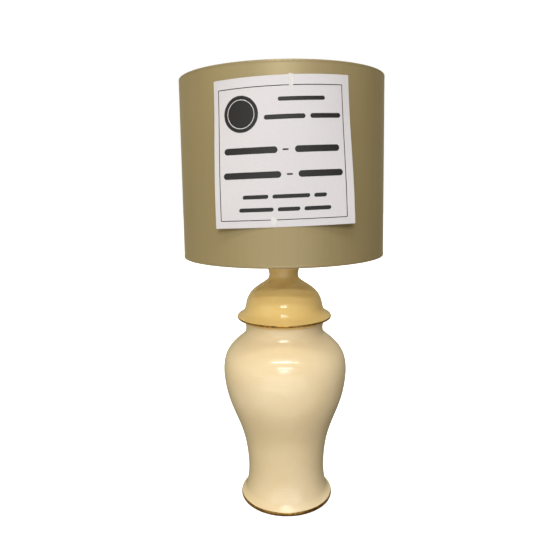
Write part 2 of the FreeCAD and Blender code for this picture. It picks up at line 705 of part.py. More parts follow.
seam_out = cylinder("Seam_out", so - 0.02, S("shade_height") - 2 * rh - 0.4, 0, 0, foot + rh + 0.2,
                    FreeCAD.Rotation(V(0, 0, 1), 88.0), 4.0)
seam_in = cylinder("Seam_in", fabric_out + 0.02, S("shade_height"), 0, 0, foot)
cut("shade_seam", seam_out, [seam_in])

spokes = []
z_hi = VALUE["flange_top"] + 0.1 + VALUE["fitter_thick"] / 2
z_lo = VALUE["shade_foot"] + 2.9
r_end = roll_in.v - VALUE["trim_thick"] - 0.02
path = rounded_wire([(VALUE["fitter_radius"] + 0.02, 0, z_hi), (36.0, 0, z_hi), (156.0, 0, z_lo), (r_end, 0, z_lo)], 12.0)
one = wire_solid(path, VALUE["spoke_radius"])
for a in (90.0, 210.0, 330.0):
    s = one.copy()
    s.rotate(V(0, 0, 0), V(0, 0, 1), a)
    spokes.append(s)
own_shape("fitter_spokes", Part.makeCompound(spokes))

card_out = cylinder("Card_out", S("card_radius"), S("card_height"), 0, 0, S("card_foot"),
                    FreeCAD.Rotation(V(0, 0, 1), 270.0 + VALUE["card_start"]), S("card_span"))
card_in = cylinder("Card_in", S("card_radius") - S("card_thick"), S("card_height") + 2, 0, 0, S("card_foot") - 1)
cut("sample_card", card_out, [card_in])

tape_parts = []
for i, (mid, half, z0, z1) in enumerate(((2.3, 1.25, 708.0, 736.0), (-7.0, 1.1, 507.5, 524.0))):
    t_out = cylinder("Tape_out_%d" % i, S("card_radius") + 0.03 + S("tape_thick"), z1 - z0, 0, 0, z0,
                     FreeCAD.Rotation(V(0, 0, 1), 270.0 + mid - half), 2 * half)
    t_in = cylinder("Tape_in_%d" % i, S("card_radius") + 0.03, z1 - z0 + 2, 0, 0, z0 - 1)
    tape_parts.append(cut("tape_%d" % i, t_out, [t_in], keep=False))
group("card_tapes", tape_parts)

# ---------------------------------------------------------------------------
# bulb
# ---------------------------------------------------------------------------
shell = turned("bulb_cap_raw", [
    (S("cap_shell") - 0.3, S("cap_foot")), (S("cap_shell"), S("cap_foot")), (S("cap_shell"), S("cap_top") - 1.2),
    (S("cap_shell") + 0.35, S("cap_top") - 0.7), (S("cap_shell") + 0.35, S("cap_top")), (S("cap_shell") - 0.3, S("cap_top"))])
NODES.remove(shell)
pin_a = cylinder("Pin_a", S("pin_radius"), S("pin_reach") - S("cap_shell") + 0.15, 0, S("cap_shell") - 0.15, S("pin_height"),
                 FreeCAD.Rotation(V(1, 0, 0), -90))
pin_b = cylinder("Pin_b", S("pin_radius"), S("pin_reach") - S("cap_shell") + 0.15, 0, -S("cap_shell") + 0.15, S("pin_height"),
                 FreeCAD.Rotation(V(1, 0, 0), 90))
cap = doc.addObject("Part::MultiFuse", "Fuse_bulb_cap")
cap.Shapes = [shell, pin_a, pin_b]
node(cap, "bulb_cap")

disc("bulb_insulator", S("cap_foot"), 2.6, S("cap_shell") - 0.35)
solder = [cylinder("Solder_%d" % i, 2.3, 0.75, x, 0, S("cap_foot") - 0.78)
          for i, x in enumerate((-S("contact_offset"), S("contact_offset")))]
group("bulb_contacts", solder)

rb = VALUE["bulb_radius"]
bc = VALUE["bulb_centre"]
env = [(10.25, 507.0), (10.35, 513.0), (10.8, 517.5), (12.2, 524.0), (15.2, 532.5), (19.4, 541.5), (24.2, 551.5),
       (28.3, 562.5), (rb, bc), (28.6, 586.6), (23.9, 595.6), (16.4, 602.3), (7.6, 605.6), (0.0, 606.3)]
env_in = [(0.0, env[-1][1] - VALUE["bulb_wall"])] + list(reversed(inset(env[:-1], VALUE["bulb_wall"])))
env_in[-1] = (env[0][0] - VALUE["bulb_wall"], env[0][1])
glass = new_body("bulb_glass")
sk = outline_sketch(glass, "Outline_bulb_glass", [env, [env[-1], env_in[0]], env_in, [env_in[-1], env[0]]])
revolve(glass, sk, "Turn_bulb_glass")

turned("filament_stem", [(0, 507.4), (9.0, 507.4), (9.0, 508.4), (5.0, 511.5), (3.6, 519.0), (3.2, 527.0), (1.5, 530.5),
                         (1.3, 574.0), (2.0, 576.0), (0, 577.0)])
sticks, holders = [], []
for k in range(4):
    a = math.radians(45 + 90 * k)
    lo = V(8.6 * math.cos(a), 8.6 * math.sin(a), 535.5)
    hi = V(6.2 * math.cos(a + 0.25), 6.2 * math.sin(a + 0.25), 572.5)
    d = hi - lo
    sticks.append(Part.makeCylinder(1.1, d.Length, lo, d))
    u = V(d).normalize()
    foot_in = V(2.75 * math.cos(a), 2.75 * math.sin(a), 529.9)
    top_in = V(2.35 * math.cos(a + 0.25), 2.35 * math.sin(a + 0.25), 575.4)
    e1 = (lo - u * 0.05) - foot_in
    holders.append(Part.makeCylinder(0.3, e1.Length - 0.35, foot_in, e1))
    e2 = (hi + u * 0.05) - top_in
    holders.append(Part.makeCylinder(0.3, e2.Length - 0.35, top_in, e2))
own_shape("filaments", Part.makeCompound(sticks))
own_shape("filament_wires", Part.makeCompound(holders))

# ---------------------------------------------------------------------------
# check and write
# ---------------------------------------------------------------------------
doc.recompute()
bad = [(o.Name, o.State) for o in doc.Objects if "Invalid" in o.State or "Error" in o.State]
assert not bad, bad
os.makedirs("parts", exist_ok=True)
for old in os.listdir("parts"):
    if old.endswith(".step"):
        os.remove(os.path.join("parts", old))
for obj in NODES:
    s = obj.Shape
    assert not s.isNull() and s.isValid(), obj.Label
    assert s.Solids, obj.Label
    s.exportStep("parts/%s.step" % obj.Label)
print(len(NODES), "nodes")
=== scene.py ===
import bpy
import bmesh
import math
import random
from mathutils import Matrix, Vector


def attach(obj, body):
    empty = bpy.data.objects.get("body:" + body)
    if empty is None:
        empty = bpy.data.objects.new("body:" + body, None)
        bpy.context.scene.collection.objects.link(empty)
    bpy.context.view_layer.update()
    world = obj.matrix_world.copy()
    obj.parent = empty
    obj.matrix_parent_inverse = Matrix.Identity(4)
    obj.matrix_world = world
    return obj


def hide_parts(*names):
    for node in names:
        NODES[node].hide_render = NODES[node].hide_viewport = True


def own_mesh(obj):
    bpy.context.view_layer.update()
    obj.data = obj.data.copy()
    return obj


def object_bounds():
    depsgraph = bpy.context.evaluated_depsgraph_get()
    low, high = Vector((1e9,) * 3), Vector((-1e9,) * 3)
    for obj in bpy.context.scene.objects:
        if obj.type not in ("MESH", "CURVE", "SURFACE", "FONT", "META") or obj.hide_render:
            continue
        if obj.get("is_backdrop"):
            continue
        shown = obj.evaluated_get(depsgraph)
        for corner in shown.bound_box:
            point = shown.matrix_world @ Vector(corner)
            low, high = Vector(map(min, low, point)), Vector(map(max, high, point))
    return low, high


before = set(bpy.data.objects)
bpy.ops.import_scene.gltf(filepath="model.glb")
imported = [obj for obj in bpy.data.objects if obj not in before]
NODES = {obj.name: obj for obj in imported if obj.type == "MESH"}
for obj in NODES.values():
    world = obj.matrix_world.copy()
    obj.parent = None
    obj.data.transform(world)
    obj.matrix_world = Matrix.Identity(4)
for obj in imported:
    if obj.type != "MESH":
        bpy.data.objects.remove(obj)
CAD_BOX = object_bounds()
MM = 0.001
TAU = 2 * math.pi
scene = bpy.context.scene
scene.view_settings.view_transform = "Standard"
scene.view_settings.look = "None"
scene.view_settings.exposure = 0.0
scene.view_settings.gamma = 1.0


# ------------------------------------------------------------------ node help
class Mat:
    """A small builder for node materials."""

    def __init__(self, name):
        self.m = bpy.data.materials.new(name)
        self.m.use_nodes = True
        self.t = self.m.node_tree
        self.b = self.t.nodes["Principled BSDF"]
        self.out = self.t.nodes["Material Output"]

    def n(self, kind, **props):
        node = self.t.nodes.new(kind)
        for k, v in props.items():
            setattr(node, k, v)
        return node

    def l(self, a, b):
        self.t.links.new(a, b)

    def set(self, **kw):
        for k, v in kw.items():
            self.b.inputs[k.replace("_", " ")].default_value = v
        return self

    def coord(self, kind="Object"):
        return self.n("ShaderNodeTexCoord").outputs[kind]

    def scaled(self, vec, sx, sy, sz):
        mp = self.n("ShaderNodeMapping")
        mp.inputs["Scale"].default_value = (sx, sy, sz)
        self.l(vec, mp.inputs["Vector"])
        return mp.outputs[0]

    def noise(self, vec, scale, detail=3.0, rough=0.5, distort=0.0):
        t = self.n("ShaderNodeTexNoise")
        t.inputs["Scale"].default_value = scale
        t.inputs["Detail"].default_value = detail
        t.inputs["Roughness"].default_value = rough
        t.inputs["Distortion"].default_value = distort
        self.l(vec, t.inputs["Vector"])
        return t.outputs["Fac"]

    def voronoi(self, vec, scale, feature="F1"):
        t = self.n("ShaderNodeTexVoronoi", feature=feature)
        t.inputs["Scale"].default_value = scale
        self.l(vec, t.inputs["Vector"])
        return t.outputs["Distance"]

    def wave(self, vec, scale, direction="X", distort=0.0):
        t = self.n("ShaderNodeTexWave", wave_type="BANDS", bands_direction=direction, wave_profile="SIN")
        t.inputs["Scale"].default_value = scale
        t.inputs["Distortion"].default_value = distort
        t.inputs["Detail"].default_value = 1.0
        self.l(vec, t.inputs["Vector"])
        return t.outputs["Fac"]

    def math(self, op, a, b=None, c=None, clamp=False):
        t = self.n("ShaderNodeMath", operation=op)
        t.use_clamp = clamp
        for i, v in enumerate((a, b, c)):
            if v is None:
                continue
            if isinstance(v, (int, float)):
                t.inputs[i].default_value = v
            else:
                self.l(v, t.inputs[i])
        return t.outputs[0]

    def ramp(self, fac, stops, interp="LINEAR"):
        r = self.n("ShaderNodeValToRGB")
        r.color_ramp.interpolation = interp
        els = r.color_ramp.elements
        while len(els) > len(stops):
            els.remove(els[-1])
        while len(els) < len(stops):
            els.new(1.0)
        for e, (p, c) in zip(els, stops):
            e.position = p
            e.color = (c[0], c[1], c[2], 1.0) if len(c) == 3 else c
        self.l(fac, r.inputs[0])
        return r.outputs[0]

    def maprange(self, v, a, b, c=0.0, d=1.0):
        r = self.n("ShaderNodeMapRange")
        r.inputs["From Min"].default_value = a
        r.inputs["From Max"].default_value = b
        r.inputs["To Min"].default_value = c
        r.inputs["To Max"].default_value = d
        self.l(v, r.inputs["Value"])
        return r.outputs[0]

    def mix(self, fac, a, b, blend="MIX"):
        x = self.n("ShaderNodeMix", data_type="RGBA", blend_type=blend)
        if isinstance(fac, (int, float)):
            x.inputs["Factor"].default_value = fac
        else:
            self.l(fac, x.inputs["Factor"])
        for sock, v in ((x.inputs[6], a), (x.inputs[7], b)):
            if isinstance(v, (tuple, list)):
                sock.default_value = (v[0], v[1], v[2], 1.0)
            else:
                self.l(v, sock)
        return x.outputs[2]

    def bump(self, height, strength, distance, prev=None):
        b = self.n("ShaderNodeBump")
        b.inputs["Strength"].default_value = strength
        b.inputs["Distance"].default_value = distance
        self.l(height, b.inputs["Height"])
        if prev is not None:
            self.l(prev, b.inputs["Normal"])
        return b.outputs[0]

    def color(self, sock):
        self.l(sock, self.b.inputs["Base Color"])
        return self

    def rough(self, sock):
        self.l(sock, self.b.inputs["Roughness"])
        return self

    def normal(self, sock):
        self.l(sock, self.b.inputs["Normal"])
        return self


def srgb(r, g, b):
    f = lambda c: (c / 255 / 12.92) if c / 255 <= 0.04045 else ((c / 255 + 0.055) / 1.055) ** 2.4
    return (f(r), f(g), f(b))


# ------------------------------------------------------------------ materials
def mat_glaze(name, gilt_lo, gilt_hi, tone=(1.0, 1.0, 1.0), edge=0.0006):
    """Cream glaze over white clay; a gilt band between two heights in metres."""
    m = Mat(name)
    co = m.coord()
    sep = m.n("ShaderNodeSeparateXYZ")
    m.l(co, sep.inputs[0])
    z = sep.outputs["Z"]
    broad = m.noise(co, 9.0, 3.0, 0.55)
    fine = m.noise(co, 60.0, 4.0, 0.6)
    tn = lambda r, g, b: tuple(c * k for c, k in zip(srgb(r, g, b), tone))
    base = m.ramp(broad, [(0.28, tn(233, 211, 169)), (0.52, tn(237, 216, 178)), (0.78, tn(240, 221, 187))])
    base = m.mix(m.maprange(fine, 0.35, 0.75, 0.0, 0.16), base, tn(230, 200, 144))
    specks = m.voronoi(co, 190.0)
    sel = m.noise(co, 31.0, 1.0)
    speck = m.math("MULTIPLY", m.math("LESS_THAN", specks, 0.085), m.math("GREATER_THAN", sel, 0.60))
    base = m.mix(m.math("MULTIPLY", speck, 0.45), base, srgb(150, 110, 60))
    wob = m.math("MULTIPLY", m.math("SUBTRACT", m.noise(co, 45.0, 2.0), 0.5), 0.0009)
    zz = m.math("ADD", z, wob)
    lo = m.maprange(zz, gilt_lo - edge, gilt_lo)
    hi = m.maprange(zz, gilt_hi, gilt_hi + edge, 1.0, 0.0)
    gilt = m.math("MULTIPLY", lo, hi)
    worn = m.noise(co, 140.0, 4.0, 0.7)
    gold = m.ramp(worn, [(0.30, srgb(92, 60, 14)), (0.50, srgb(166, 122, 44)), (0.75, srgb(204, 164, 84))])
    m.color(m.mix(gilt, base, gold))
    m.l(m.math("MULTIPLY", gilt, 0.92), m.b.inputs["Metallic"])
    rg = m.maprange(m.noise(co, 22.0, 3.0), 0.3, 0.7, 0.13, 0.22)
    m.rough(m.math("ADD", rg, m.math("MULTIPLY", gilt, 0.10)))
    peel = m.noise(co, 230.0, 2.0, 0.5)
    rings = m.wave(co, 55.0, "Z", 1.2)
    pits = m.maprange(specks, 0.0, 0.10)
    n1 = m.bump(peel, 0.10, 0.0006)
    n2 = m.bump(rings, 0.06, 0.0012, n1)
    n3 = m.bump(m.mix(m.math("GREATER_THAN", sel, 0.60), (1, 1, 1), pits), 0.10, 0.0006, n2)
    m.normal(n3)
    m.set(Specular_IOR_Level=0.5, Coat_Weight=0.55, Coat_Roughness=0.05, Coat_IOR=1.5)
    return m.m


def mat_satin(name, tone=1.0):
    """Champagne satin: fine warp and weft, faint slubs, silky lustre. Uses the piece's UVs in metres."""
    m = Mat(name)
    uv = m.coord("UV")
    obj = m.coord()
    broad = m.noise(obj, 4.5, 2.0)
    slub = m.noise(m.scaled(uv, 9.0, 1500.0, 1.0), 1.0, 4.0, 0.65)
    slub_v = m.noise(m.scaled(uv, 1100.0, 5.0, 1.0), 1.0, 3.0, 0.6)
    c = m.ramp(broad, [(0.30, srgb(161 * tone, 144 * tone, 102 * tone)), (0.70, srgb(169 * tone, 152 * tone, 110 * tone))])
    c = m.mix(m.maprange(slub, 0.45, 0.80, 0.0, 0.26), c, srgb(184 * tone, 167 * tone, 124 * tone))
    c = m.mix(m.maprange(slub_v, 0.48, 0.80, 0.0, 0.22), c, srgb(132 * tone, 114 * tone, 75 * tone))
    warp = m.wave(uv, 118.0, "X")
    weft = m.wave(uv, 139.0, "Y")
    weave = m.math("MULTIPLY", warp, weft)
    c = m.mix(m.math("MULTIPLY", m.math("SUBTRACT", 1.0, weave), 0.12), c, srgb(104 * tone, 90 * tone, 60 * tone))
    m.color(c)
    m.rough(m.maprange(slub, 0.3, 0.7, 0.40, 0.50))
    n1 = m.bump(weave, 0.12, 0.00012)
    n2 = m.bump(slub, 0.07, 0.0002, n1)
    n3 = m.bump(m.noise(m.scaled(obj, 1.0, 1.0, 0.35), 22.0, 2.0), 0.10, 0.0012, n2)
    m.normal(n3)
    m.set(Metallic=0.28, Specular_IOR_Level=0.85, Sheen_Weight=0.10, Sheen_Roughness=0.30,
          Sheen_Tint=(0.95, 0.88, 0.72, 1.0), Anisotropic=0.3)
    return m.m


def mat_brass(name, polish=0.22, tone=1.0):
    m = Mat(name)
    co = m.coord()
    tarn = m.noise(co, 38.0, 4.0, 0.6)
    c = m.ramp(tarn, [(0.25, srgb(150 * tone, 108 * tone, 48 * tone)), (0.5, srgb(206 * tone, 164 * tone, 88 * tone)),
                      (0.8, srgb(226 * tone, 188 * tone, 112 * tone))])
    m.color(c)
    brush = m.noise(m.scaled(co, 60.0, 60.0, 2400.0), 1.0, 2.0)
    m.rough(m.maprange(m.noise(co, 90.0, 3.0), 0.3, 0.7, polish - 0.05, polish + 0.12))
    n1 = m.bump(brush, 0.05, 0.0003)
    m.normal(m.bump(m.noise(co, 420.0, 2.0), 0.05, 0.0003, n1))
    m.set(Metallic=1.0, Specular_IOR_Level=0.5)
    return m.m


def mat_steel(name, base=(176, 174, 168), rough=0.32, fine=2600.0):
    m = Mat(name)
    co = m.coord()
    c = m.ramp(m.noise(co, 55.0, 4.0, 0.6), [(0.3, srgb(base[0] * 0.80, base[1] * 0.80, base[2] * 0.79)), (0.7, srgb(*base))])
    m.color(c)
    m.rough(m.maprange(m.noise(co, 120.0, 3.0), 0.3, 0.7, rough - 0.07, rough + 0.12))
    m.normal(m.bump(m.noise(m.scaled(co, 80.0, 80.0, fine), 1.0, 2.0), 0.06, 0.0003))
    m.set(Metallic=1.0)
    return m.m


def mat_paint(name, base=(232, 228, 218), rough=0.32):
    m = Mat(name)
    co = m.coord()
    c = m.ramp(m.noise(co, 30.0, 4.0, 0.6), [(0.3, srgb(base[0] * 0.95, base[1] * 0.945, base[2] * 0.92)), (0.7, srgb(*base))])
    m.color(c)
    m.rough(m.maprange(m.noise(co, 160.0, 3.0), 0.3, 0.7, rough - 0.06, rough + 0.1))
    m.normal(m.bump(m.noise(co, 700.0, 2.0), 0.08, 0.0003))
    m.set(Coat_Weight=0.25, Coat_Roughness=0.15)
    return m.m


def mat_plastic(name, base, rough=0.42, grain=900.0, strength=0.10):
    m = Mat(name)
    co = m.coord()
    c = m.ramp(m.noise(co, 40.0, 3.0, 0.6), [(0.3, srgb(base[0] * 0.86, base[1] * 0.86, base[2] * 0.86)), (0.72, srgb(*base))])
    m.color(c)
    m.rough(m.maprange(m.noise(co, 200.0, 3.0), 0.3, 0.7, rough - 0.08, rough + 0.1))
    m.normal(m.bump(m.noise(co, grain, 2.0), strength, 0.0003))
    return m.m


def mat_leads(name):
    m = Mat(name)
    co = m.coord()
    sep = m.n("ShaderNodeSeparateXYZ")
    m.l(co, sep.inputs[0])
    side = m.math("GREATER_THAN", sep.outputs["X"], 0.0)
    scuff = m.noise(co, 260.0, 3.0)
    brown = m.ramp(scuff, [(0.3, srgb(84, 48, 28)), (0.7, srgb(112, 66, 40))])
    blue = m.ramp(scuff, [(0.3, srgb(28, 58, 128)), (0.7, srgb(44, 82, 160))])
    m.color(m.mix(side, blue, brown))
    m.rough(m.maprange(scuff, 0.3, 0.7, 0.32, 0.5))
    m.normal(m.bump(m.noise(co, 900.0, 2.0), 0.06, 0.0003))
    return m.m


def mat_felt(name, base=(66, 52, 40)):
    m = Mat(name)
    co = m.coord()
    fib = m.noise(m.scaled(co, 900.0, 900.0, 300.0), 1.0, 5.0, 0.75, 1.5)
    clump = m.noise(co, 120.0, 4.0, 0.6)
    c = m.ramp(fib, [(0.3, srgb(base[0] * 0.7, base[1] * 0.7, base[2] * 0.7)), (0.7, srgb(base[0] * 1.25, base[1] * 1.22, base[2] * 1.2))])
    m.color(m.mix(m.maprange(clump, 0.3, 0.8, 0.0, 0.35), c, srgb(base[0] * 0.8, base[1] * 0.75, base[2] * 0.7)))
    m.rough(m.maprange(fib, 0.3, 0.7, 0.86, 0.98))
    m.normal(m.bump(fib, 0.5, 0.0006))
    m.set(Sheen_Weight=0.35, Sheen_Roughness=0.6)
    return m.m


def mat_paper(name, base=(212, 209, 213)):
    m = Mat(name)
    co = m.coord()
    fib = m.noise(m.scaled(co, 420.0, 420.0, 420.0), 1.0, 5.0, 0.7, 0.6)
    mott = m.noise(co, 14.0, 3.0)
    c = m.ramp(fib, [(0.3, srgb(base[0] - 7, base[1] - 7, base[2] - 7)), (0.7, srgb(*base))])
    m.color(m.mix(m.maprange(mott, 0.35, 0.7, 0.0, 0.25), c, srgb(base[0] - 10, base[1] - 9, base[2] - 6)))
    m.rough(m.maprange(fib, 0.3, 0.7, 0.55, 0.72))
    m.normal(m.bump(fib, 0.10, 0.0002, m.bump(mott, 0.12, 0.002)))
    m.set(Specular_IOR_Level=0.35)
    return m.m


def mat_ink(name, base=(20, 20, 22)):
    m = Mat(name)
    co = m.coord()
    pit = m.noise(co, 1500.0, 3.0, 0.7)
    c = m.ramp(pit, [(0.35, srgb(base[0] + 16, base[1] + 15, base[2] + 15)), (0.55, srgb(*base))])
    m.color(c)
    m.rough(m.maprange(pit, 0.3, 0.7, 0.42, 0.6))
    m.normal(m.bump(pit, 0.05, 0.0001))
    return m.m


def mat_liner(name):
    m = Mat(name)
    co = m.coord()
    c = m.ramp(m.noise(co, 18.0, 3.0), [(0.3, srgb(226, 220, 203)), (0.7, srgb(240, 236, 224))])
    m.color(c)
    m.rough(m.maprange(m.noise(co, 60.0, 3.0), 0.3, 0.7, 0.34, 0.5))
    m.normal(m.bump(m.noise(co, 300.0, 3.0), 0.10, 0.0005))
    m.set(Specular_IOR_Level=0.45)
    return m.m


def mat_tape(name):
    m = Mat(name)
    co = m.coord()
    ridge = m.noise(m.scaled(co, 500.0, 500.0, 60.0), 1.0, 3.0)
    c = m.ramp(ridge, [(0.3, srgb(243, 243, 240)), (0.7, srgb(253, 253, 251))])
    m.color(c)
    m.rough(m.maprange(ridge, 0.3, 0.7, 0.08, 0.20))
    m.normal(m.bump(ridge, 0.10, 0.0004))
    m.set(Alpha=0.5, Specular_IOR_Level=0.6, Coat_Weight=0.6, Coat_Roughness=0.08)
    return m.m


def mat_glass(name, tint=(0.985, 0.99, 0.985), rough=0.0, alpha=1.0):
    m = Mat(name)
    co = m.coord()
    seed = m.noise(co, 20.0, 2.0)
    m.color(m.ramp(seed, [(0.3, (tint[0] * 0.985, tint[1] * 0.99, tint[2] * 0.985)), (0.7, tint)]))
    m.rough(m.maprange(m.noise(co, 40.0, 3.0), 0.3, 0.7, rough, rough + 0.03))
    m.normal(m.bump(m.noise(co, 14.0, 2.0), 0.04, 0.002))
    m.set(Transmission_Weight=1.0, IOR=1.48)
    return m.m


def mat_phosphor(name):
    m = Mat(name)
    co = m.coord()
    gran = m.noise(co, 1800.0, 3.0, 0.7)
    m.color(m.ramp(gran, [(0.3, srgb(222, 166, 42)), (0.7, srgb(246, 204, 84))]))
    m.rough(m.maprange(gran, 0.3, 0.7, 0.45, 0.65))
    m.normal(m.bump(gran, 0.2, 0.0003))
    return m.m


def mat_porcelain(name):
    m = Mat(name)
    co = m.coord()
    m.color(m.ramp(m.noise(co, 60.0, 4.0), [(0.3, srgb(222, 216, 204)), (0.7, srgb(238, 234, 225))]))
    m.rough(m.maprange(m.noise(co, 200.0, 3.0), 0.3, 0.7, 0.35, 0.55))
    m.normal(m.bump(m.noise(co, 800.0, 3.0), 0.12, 0.0003))
    return m.m


M = {
    "jar": mat_glaze("jar_glaze", 0.0, 0.0080),
    # The lid's copy of the jar glaze is toned darker and more golden: painted shade cast by the drum above it.
    "lid": mat_glaze("lid_glaze_painted_shade", 0.3372, 0.3412, (1.045, 0.905, 0.52), 0.0003),
    "satin": mat_satin("shade_satin"),
    "hem": mat_satin("shade_hem_satin", 0.96),
    "brass": mat_brass("polished_brass", 0.20),
    "brass_satin": mat_brass("satin_brass", 0.30, 0.95),
    "steel": mat_steel("zinc_steel"),
    "wire": mat_steel("bright_wire", (196, 196, 194), 0.22),
    "alu": mat_steel("bulb_cap_metal", (205, 205, 200), 0.28),
    "solder": mat_steel("solder", (190, 190, 190), 0.40),
    "white_metal": mat_paint("white_enamel"),
    "phenolic": mat_plastic("black_phenolic", (40, 30, 24), 0.38),
    "bar": mat_plastic("brown_bar", (58, 40, 28), 0.26, 700.0, 0.06),
    "grommet": mat_plastic("brown_grommet", (92, 70, 44), 0.40),
    "vitrite": mat_plastic("black_vitrite", (22, 20, 24), 0.12, 500.0, 0.05),
    "leads": mat_leads("lead_cores"),
    "felt": mat_felt("brown_felt"),
    "paper": mat_paper("card_paper"),
    "ink": mat_ink("card_ink"),
    "tape": mat_tape("clear_tape"),
    "liner": mat_liner("shade_backing"),
    "glass": mat_glass("bulb_clear_glass"),
    "stem": mat_glass("stem_glass", (0.95, 0.98, 0.96), 0.02),
    "phosphor": mat_phosphor("phosphor"),
    "porcelain": mat_porcelain("pressed_porcelain"),
}


def assign(obj, mat):
    obj.data.materials.clear()
    obj.data.materials.append(mat)


CAD_LOOK = {
    "felt_pad": "felt", "jar_body": "jar", "lid": "lid", "cord_grommet": "grommet", "threaded_rod": "steel",
    "bottom_washer": "steel", "bottom_nut": "steel", "neck_cap": "brass", "top_locknut": "brass_satin",
    "holder_cap": "brass", "cap_set_screw": "brass_satin", "holder_barrel": "brass", "switch_block": "phenolic",
    "switch_bar": "bar", "contact_carrier": "porcelain", "contact_plungers": "brass_satin", "contact_springs": "wire",
    "terminals": "brass_satin", "terminal_screws": "steel", "inner_leads": "leads", "fitter_ring": "white_metal",
    "fitter_spokes": "white_metal", "bottom_wire_ring": "white_metal", "top_wire_ring": "white_metal",
    "shade_liner": "liner", "shade_fabric": "satin", "bottom_edge_roll": "hem", "top_edge_roll": "hem",
    "shade_seam": "hem", "shade_ring": "brass_satin", "sample_card": "paper", "card_tapes": "tape",
    "bulb_cap": "alu", "bulb_insulator": "vitrite", "bulb_contacts": "solder", "bulb_glass": "glass",
    "filament_stem": "stem", "filaments": "phosphor", "filament_wires": "wire",
}
for node, look in CAD_LOOK.items():
    assign(NODES[node], M[look])


# ------------------------------------------------------------------ mesh help
def mesh_object(name, verts, faces, mat, uvs=None, smooth=True):
    me = bpy.data.meshes.new(name)
    me.from_pydata(verts, [], faces)
    me.update()
    ob = bpy.data.objects.new(name, me)
    bpy.context.collection.objects.link(ob)
    if uvs is not None:
        layer = me.uv_layers.new(name="UVMap")
        for poly in me.polygons:
            for li in poly.loop_indices:
                layer.data[li].uv = uvs[me.loops[li].vertex_index]
    if smooth:
        for p in me.polygons:
            p.use_smooth = True
        me.set_sharp_from_angle(angle=math.radians(38))
    me.materials.append(mat)
    return ob


def catmull(pts, per):
    """Smooth open curve through points, with per steps in each span."""
    out = []
    n = len(pts)
    for i in range(n - 1):
        p0 = pts[max(i - 1, 0)]
        p1 = pts[i]
        p2 = pts[i + 1]
        p3 = pts[min(i + 2, n - 1)]
        for k in range(per):
            t = k / per
            t2, t3 = t * t, t * t * t
            out.append(tuple(0.5 * (2 * b + (c - a) * t + (2 * a - 5 * b + 4 * c - d) * t2 + (3 * b - a - 3 * c + d) * t3)
                             for a, b, c, d in zip(p0, p1, p2, p3)))
    out.append(tuple(pts[-1]))
    return out


def cyl(a, r, z):
    """Point at angle a (radians, measured from the front towards +X), radius r, height z, in mm."""
    return (r * math.sin(a) * MM, -r * math.cos(a) * MM, z * MM)


# ------------------------------------------------------------------ the shade
R_CLOTH = 174.62      # outer face of the cloth
FOOT_Z, HEAD_Z = 452.0, 752.0
rnd = random.Random(7)
phases = [(k, rnd.uniform(0, TAU), rnd.uniform(0.02, 0.07)) for k in (2, 3, 5, 7, 11, 13)]


def cloth_wave(a, z):
    """Small unevenness of the laminated cloth, in mm, always inwards of its nominal face."""
    t = (z - FOOT_Z) / (HEAD_Z - FOOT_Z)
    w = sum(amp * math.sin(k * a + ph + 1.3 * t * (k % 3)) for k, ph, amp in phases)
    return 0.35 * w * math.sin(math.pi * min(max(t, 0.0), 1.0)) - 0.06


def build_cloth():
    na, nz = 540, 46
    z0, z1 = FOOT_Z + 0.9, HEAD_Z - 0.9
    verts, uvs, faces = [], [], []
    for shell, base in ((0, R_CLOTH), (1, R_CLOTH - 0.48)):
        for j in range(nz + 1):
            z = z0 + (z1 - z0) * j / nz
            for i in range(na + 1):
                a = math.pi + TAU * i / na
                r = base + cloth_wave(a - math.pi, z)
                verts.append(cyl(a, r, z))
                uvs.append((0.17465 * TAU * i / na, z * MM))
    row = na + 1
    per = row * (nz + 1)
    for j in range(nz):
        for i in range(na):
            o = j * row + i
            faces.append((o, o + 1, o + row + 1, o + row))
            o += per
            faces.append((o, o + row, o + row + 1, o + 1))
    for i in range(na):
        faces.append((i, i + per, i + 1 + per, i + 1))
        o = nz * row + i
        faces.append((o, o + 1, o + 1 + per, o + per))
    for j in range(nz):
        for i in (0, na):
            o = j * row + i
            q = (o, o + row, o + row + per, o + per)
            faces.append(q if i == 0 else q[::-1])
    return mesh_object("shade_cloth", verts, faces, M["satin"], uvs)


cloth = build_cloth()
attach(cloth, "shade")
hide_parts("shade_fabric")


def lathe_closed(name, outline, na, mat, wobble=None, uv_scale=0.175):
    """A closed ring: outline is a closed list of (radius, height) in mm."""
    verts, uvs, faces = [], [], []
    n = len(outline)
    run = [0.0]
    for k in range(1, n):
        run.append(run[-1] + math.dist(outline[k - 1], outline[k]))
    for i in range(na):
        a = math.pi + TAU * i / na
        for k, (r, z) in enumerate(outline):
            dr, dz = wobble(a, k) if wobble else (0.0, 0.0)
            verts.append(cyl(a, r + dr, z + dz))
            uvs.append((uv_scale * TAU * i / na, run[k] * MM))
    for i in range(na):
        j = (i + 1) % na
        for k in range(n):
            l = (k + 1) % n
            faces.append((i * n + k, j * n + k, j * n + l, i * n + l))
    ob = mesh_object(name, verts, faces, mat, uvs)
    bm = bmesh.new()
    bm.from_mesh(ob.data)
    bmesh.ops.recalc_face_normals(bm, faces=bm.faces)
    bm.to_mesh(ob.data)
    bm.free()
    return ob


